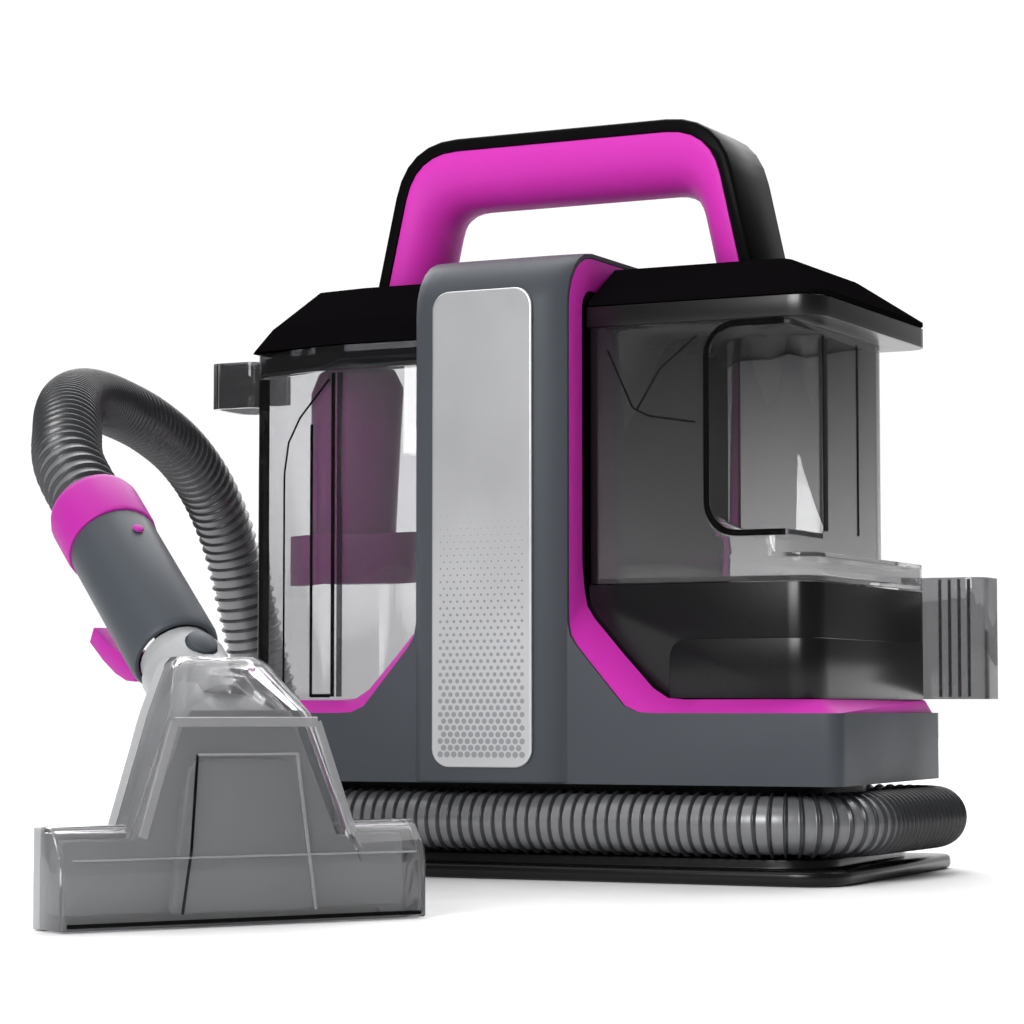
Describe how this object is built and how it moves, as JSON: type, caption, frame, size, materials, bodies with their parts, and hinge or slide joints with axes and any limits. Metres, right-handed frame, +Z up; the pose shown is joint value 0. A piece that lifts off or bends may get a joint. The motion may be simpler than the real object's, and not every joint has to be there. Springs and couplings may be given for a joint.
{
  "type": "spot extractor",
  "caption": "Portable carpet and upholstery spot extractor: column body between clean and recovery tanks, hose stored round its base, spray handset in front.",
  "frame": {"origin": "on the ground, in the middle of the base's foot plate", "axes": "+X to the clean water tank (right), +Y to the rear, +Z up; the front faces -Y"},
  "size_m": [0.4074, 0.5885, 0.3704],
  "materials": {
    "gray": "satin",
    "black": "gloss",
    "magenta": "satin",
    "light_gray": "satin",
    "smoked": "clear, smoked",
    "clear": "clear",
    "rubber": "matte",
    "hose": "ribbed, satin",
    "silver": "brushed",
    "steel": "brushed"
  },
  "bodies": {
    "body": {"foot_plate": "black", "hose_core": "black", "body_shell": "gray", "trim_right": "magenta", "trim_left": "magenta", "badge_plate": "silver", "core_housing": "black", "motor_can": "steel", "fan_shroud": "black", "water_pump": "black", "pump_housing": "black", "filter_panel": "black", "top_cover_right": "black", "top_cover_left": "black", "handle_shell": "black", "handle_liner": "magenta", "tool_holder": "smoked", "exhaust_grille": "black", "switch_bezel": "black", "power_inlet": "black", "hose_stored": "hose", "hose_free": "hose", "hose_port": "black", "nozzle_window": "clear", "nozzle_body": "light_gray", "suction_duct": "light_gray", "nozzle_neck": "light_gray", "handset_grip": "gray", "handset_collar": "magenta", "grip_plug": "magenta", "foot_pad_front_left": "rubber", "foot_pad_rear_left": "rubber", "foot_pad_front_right": "rubber", "foot_pad_rear_right": "rubber"},
    "clean_tank_unit": {"clean_tank": "smoked", "clean_tank_lid": "black", "clean_tank_cap": "magenta"},
    "recovery_tank_unit": {"recovery_tank": "clear", "recovery_tank_lid": "smoked", "separator_tower": "magenta", "suction_riser": "light_gray", "hose_hook": "smoked"},
    "float": {"float_cup": "magenta"},
    "trigger": {"spray_trigger": "magenta"},
    "nozzle_release": {"release_button": "gray"},
    "switch": {"power_switch": "magenta"},
    "impeller": {"fan_impeller": "light_gray"}
  },
  "joints": [
    {"name": "clean_tank_slide", "type": "slide", "parent": "body", "child": "clean_tank_unit", "axis": [1, 0, 0], "range_m": [0, 0.06]},
    {"name": "recovery_tank_slide", "type": "slide", "parent": "body", "child": "recovery_tank_unit", "axis": [-1, 0, 0], "range_m": [0, 0.024]},
    {"name": "float_lift", "type": "slide", "parent": "recovery_tank_unit", "child": "float", "axis": [0, 0, 1], "range_m": [0, 0.012]},
    {"name": "trigger_pivot", "type": "hinge", "parent": "body", "child": "trigger", "pos_m": [-0.01242, -0.37277, 0.09373], "axis": [0.5, 0.866, 0], "range_deg": [0, 7], "stiffness_Nm_per_rad": 0.2, "springref_deg": -5.73},
    {"name": "release_press", "type": "slide", "parent": "body", "child": "nozzle_release", "axis": [-0.5427, 0.3133, -0.7793], "range_m": [0, 0.0012], "stiffness_N_per_m": 200, "springref_m": -0.001},
    {"name": "switch_rock", "type": "hinge", "parent": "body", "child": "switch", "pos_m": [0, 0.1035, 0.248], "axis": [1, 0, 0], "range_deg": [-6, 6]},
    {"name": "impeller_spin", "type": "hinge", "parent": "body", "child": "impeller", "pos_m": [0, 0, 0.179], "axis": [0, 0, 1], "continuous": true}
  ]
}
